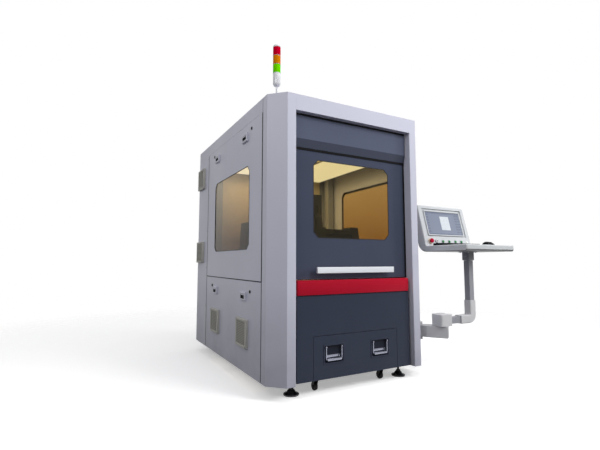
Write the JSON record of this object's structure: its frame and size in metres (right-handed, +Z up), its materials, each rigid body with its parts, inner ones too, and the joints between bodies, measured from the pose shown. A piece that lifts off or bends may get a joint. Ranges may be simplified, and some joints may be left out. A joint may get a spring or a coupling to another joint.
{
  "type": "fiber laser cutting machine",
  "caption": "Enclosed sheet metal laser cutter: grey cabinet with lift-up door, amber windows, scrap cart on casters, signal tower and an operator console on a swivel arm",
  "frame": {"origin": "on the floor under the middle of the cabinet", "axes": "+Z up, -Y towards the operator at the front door, +X to the operator's right, where the console arm is"},
  "size_m": [2.0955, 2.019, 2.353],
  "materials": {
    "cabinet_grey": "fine textured powder coat, light grey with a faint violet cast",
    "frame_grey": "satin paint",
    "liner_cream": "satin paint",
    "header_slate": "satin powder coat, slate blue",
    "panel_charcoal": "satin powder coat, dark blue grey",
    "band_red": "semi gloss paint, deep red",
    "handle_white": "satin white",
    "safety_amber": "amber laser safety pane",
    "foot_black": "matt black",
    "tower_silver": "satin silver",
    "lens_green": "ribbed translucent",
    "lens_amber": "ribbed translucent",
    "lens_red": "ribbed translucent",
    "cart_grey": "satin paint, scuffed inside",
    "dish_black": "black pressed steel",
    "bail_chrome": "bright chrome with a dark grip",
    "fork_steel": "zinc plated",
    "tyre_black": "matt black",
    "arm_grey": "satin painted casting",
    "console_grey": "satin light grey",
    "display_blue": "glossy screen glass",
    "stop_red": "gloss red",
    "knob_white": "satin",
    "button_green": "gloss green",
    "key_black": "matt black",
    "axis_aluminium": "machined and painted aluminium",
    "rack_grey": "satin",
    "drive_grey": "matt"
  },
  "bodies": {
    "cabinet": {"base_frame": "frame_grey", "levelling_feet": "foot_black", "upper_frame": "frame_grey", "front_portal": "cabinet_grey", "roof_cover": "cabinet_grey", "chamber_liner": "liner_cream", "header_cover": "header_slate", "red_band": "band_red", "lower_front_panel": "panel_charcoal", "door_guides": "header_slate", "lower_side_panel_left": "cabinet_grey", "lower_side_panel_right": "cabinet_grey", "upper_side_panel_left": "cabinet_grey", "upper_side_panel_right": "cabinet_grey", "side_window_left": "safety_amber", "side_window_right": "safety_amber", "rear_side_panels": "cabinet_grey", "rear_panel": "cabinet_grey", "tower_housing": "tower_silver", "tower_lens_green": "lens_green", "tower_lens_amber": "lens_amber", "tower_lens_red": "lens_red", "wall_bracket": "arm_grey", "machine_bed": "frame_grey", "slat_table": "frame_grey", "laser_source": "rack_grey", "control_rack": "drive_grey"},
    "lift_door": {"door_panel": "header_slate", "door_window": "safety_amber", "door_handle": "handle_white"},
    "scrap_cart": {"cart_bin": "cart_grey", "cart_front": "panel_charcoal", "handle_dishes": "dish_black"},
    "bail_left": {"bail_handle_left": "bail_chrome"},
    "bail_right": {"bail_handle_right": "bail_chrome"},
    "front_caster_left": {"caster_fork_left": "fork_steel"},
    "front_caster_right": {"caster_fork_right": "fork_steel"},
    "front_wheel_left": {"caster_wheel_front_left": "tyre_black"},
    "front_wheel_right": {"caster_wheel_front_right": "tyre_black"},
    "rear_wheel_left": {"caster_wheel_rear_left": "tyre_black"},
    "rear_wheel_right": {"caster_wheel_rear_right": "tyre_black"},
    "hinge_arm": {"lower_arm": "arm_grey"},
    "console_arm": {"knee_joint": "arm_grey", "arm_tube": "arm_grey", "arm_elbow": "arm_grey", "column_tube": "arm_grey"},
    "console": {"column_collar": "arm_grey", "console_housing": "console_grey", "display_panel": "display_blue", "keyboard": "key_black", "mouse": "key_black"},
    "stop_button": {"emergency_stop": "stop_red"},
    "selector": {"selector_knob": "knob_white"},
    "button_1": {"push_button_1": "button_green"},
    "button_2": {"push_button_2": "button_green"},
    "button_3": {"push_button_3": "button_green"},
    "button_4": {"push_button_4": "button_green"},
    "gantry": {"gantry_beam": "axis_aluminium"},
    "carriage": {"x_carriage": "axis_aluminium"},
    "head": {"cutting_head": "axis_aluminium"}
  },
  "joints": [
    {"name": "door_lift", "type": "slide", "parent": "cabinet", "child": "lift_door", "axis": [0, 0, 1], "range_m": [0, 0.6]},
    {"name": "cart_roll", "type": "slide", "parent": "cabinet", "child": "scrap_cart", "axis": [0, -1, 0], "range_m": [0, 1]},
    {"name": "bail_swing_left", "type": "hinge", "parent": "scrap_cart", "child": "bail_left", "pos_m": [-0.193, -0.858, 0.296], "axis": [-1, 0, 0], "range_deg": [0, 90]},
    {"name": "caster_swivel_left", "type": "hinge", "parent": "scrap_cart", "child": "front_caster_left", "pos_m": [-0.277, -0.762, 0.095], "axis": [0, 0, 1], "continuous": true},
    {"name": "front_wheel_spin_left", "type": "hinge", "parent": "front_caster_left", "child": "front_wheel_left", "pos_m": [-0.277, -0.744, 0.03], "axis": [1, 0, 0], "continuous": true},
    {"name": "rear_wheel_spin_left", "type": "hinge", "parent": "scrap_cart", "child": "rear_wheel_left", "pos_m": [-0.277, -0.042, 0.03], "axis": [1, 0, 0], "continuous": true},
    {"name": "bail_swing_right", "type": "hinge", "parent": "scrap_cart", "child": "bail_right", "pos_m": [0.193, -0.858, 0.296], "axis": [-1, 0, 0], "range_deg": [0, 90]},
    {"name": "caster_swivel_right", "type": "hinge", "parent": "scrap_cart", "child": "front_caster_right", "pos_m": [0.277, -0.762, 0.095], "axis": [0, 0, 1], "continuous": true},
    {"name": "front_wheel_spin_right", "type": "hinge", "parent": "front_caster_right", "child": "front_wheel_right", "pos_m": [0.277, -0.744, 0.03], "axis": [1, 0, 0], "continuous": true},
    {"name": "rear_wheel_spin_right", "type": "hinge", "parent": "scrap_cart", "child": "rear_wheel_right", "pos_m": [0.277, -0.042, 0.03], "axis": [1, 0, 0], "continuous": true},
    {"name": "arm_swing", "type": "hinge", "parent": "cabinet", "child": "hinge_arm", "pos_m": [0.703, -0.713, 0.31], "axis": [0, 0, 1], "range_deg": [-30, 30]},
    {"name": "knee_swing", "type": "hinge", "parent": "hinge_arm", "child": "console_arm", "pos_m": [0.812, -0.858, 0.4], "axis": [0, 0, 1], "range_deg": [-60, 10]},
    {"name": "console_turn", "type": "hinge", "parent": "console_arm", "child": "console", "pos_m": [1.142, -0.858, 0.89], "axis": [0, 0, 1], "range_deg": [-60, 60]},
    {"name": "stop_press", "type": "slide", "parent": "console", "child": "stop_button", "axis": [0, 0.9703, -0.2419], "range_m": [0, 0.003], "stiffness_N_per_m": 1500, "springref_m": -0.001},
    {"name": "selector_turn", "type": "hinge", "parent": "console", "child": "selector", "pos_m": [0.992, -0.66484, 1.02275], "axis": [0, -0.9703, 0.2419], "range_deg": [-45, 45]},
    {"name": "button_press_1", "type": "slide", "parent": "console", "child": "button_1", "axis": [0, 0.9703, -0.2419], "range_m": [0, 0.003], "stiffness_N_per_m": 400, "springref_m": -0.001},
    {"name": "button_press_2", "type": "slide", "parent": "console", "child": "button_2", "axis": [0, 0.9703, -0.2419], "range_m": [0, 0.003], "stiffness_N_per_m": 400, "springref_m": -0.001},
    {"name": "button_press_3", "type": "slide", "parent": "console", "child": "button_3", "axis": [0, 0.9703, -0.2419], "range_m": [0, 0.003], "stiffness_N_per_m": 400, "springref_m": -0.001},
    {"name": "button_press_4", "type": "slide", "parent": "console", "child": "button_4", "axis": [0, 0.9703, -0.2419], "range_m": [0, 0.003], "stiffness_N_per_m": 400, "springref_m": -0.001},
    {"name": "gantry_travel", "type": "slide", "parent": "cabinet", "child": "gantry", "axis": [0, 1, 0], "range_m": [-0.45, 0.45]},
    {"name": "carriage_travel", "type": "slide", "parent": "gantry", "child": "carriage", "axis": [1, 0, 0], "range_m": [-0.4, 0.3]},
    {"name": "head_lift", "type": "slide", "parent": "carriage", "child": "head", "axis": [0, 0, 1], "range_m": [-0.02, 0.08]}
  ]
}
